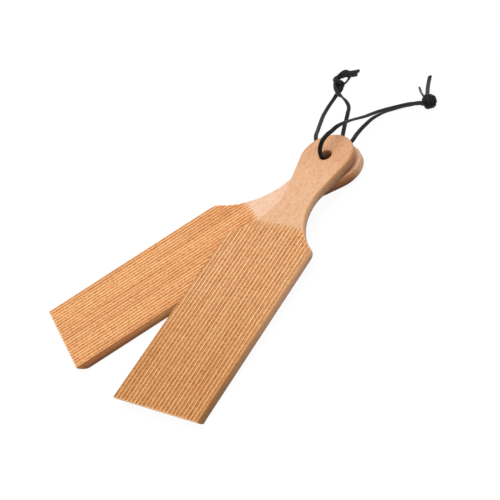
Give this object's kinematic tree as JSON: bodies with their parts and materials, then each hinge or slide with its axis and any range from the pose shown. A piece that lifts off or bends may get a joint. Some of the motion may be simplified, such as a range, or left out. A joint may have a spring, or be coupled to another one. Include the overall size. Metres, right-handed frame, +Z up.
{
  "type": "pair of butter paddles",
  "caption": "Ribbed wooden butter paddles, lying crossed at their handles, each with a knotted leather hanging thong through the hole in its rounded handle end.",
  "frame": {"origin": "on the table, below the middle of the box of the two paddles", "axes": "+X along the back paddle from its tip to its handle end, +Z up from the table"},
  "size_m": [0.271, 0.2135, 0.0269],
  "materials": {
    "beech": "sanded and lightly oiled beech",
    "lace_leather": "dyed leather lace, cut ends"
  },
  "bodies": {
    "back_paddle": {"back_paddle": "beech"},
    "front_paddle": {"front_paddle": "beech"},
    "back_thong": {"back_thong_loop": "lace_leather", "back_thong_knot": "lace_leather", "back_thong_long_tail": "lace_leather", "back_thong_short_tail": "lace_leather"},
    "front_thong": {"front_thong_loop": "lace_leather", "front_thong_knot": "lace_leather", "front_thong_long_tail": "lace_leather", "front_thong_short_tail": "lace_leather"}
  },
  "joints": [
    {"name": "front_paddle_lift", "type": "slide", "parent": "back_paddle", "child": "front_paddle", "axis": [0, 0, 1], "range_m": [0, 0.1]},
    {"name": "back_thong_swivel", "type": "hinge", "parent": "back_paddle", "child": "back_thong", "pos_m": [0.08537, 0.04755, 0.0051], "axis": [0, 0, 1], "range_deg": [-10, 45]},
    {"name": "front_thong_swivel", "type": "hinge", "parent": "front_paddle", "child": "front_thong", "pos_m": [0.08367, 0.04823, 0.01347], "axis": [0, 0, 1], "range_deg": [-25, 10]}
  ]
}
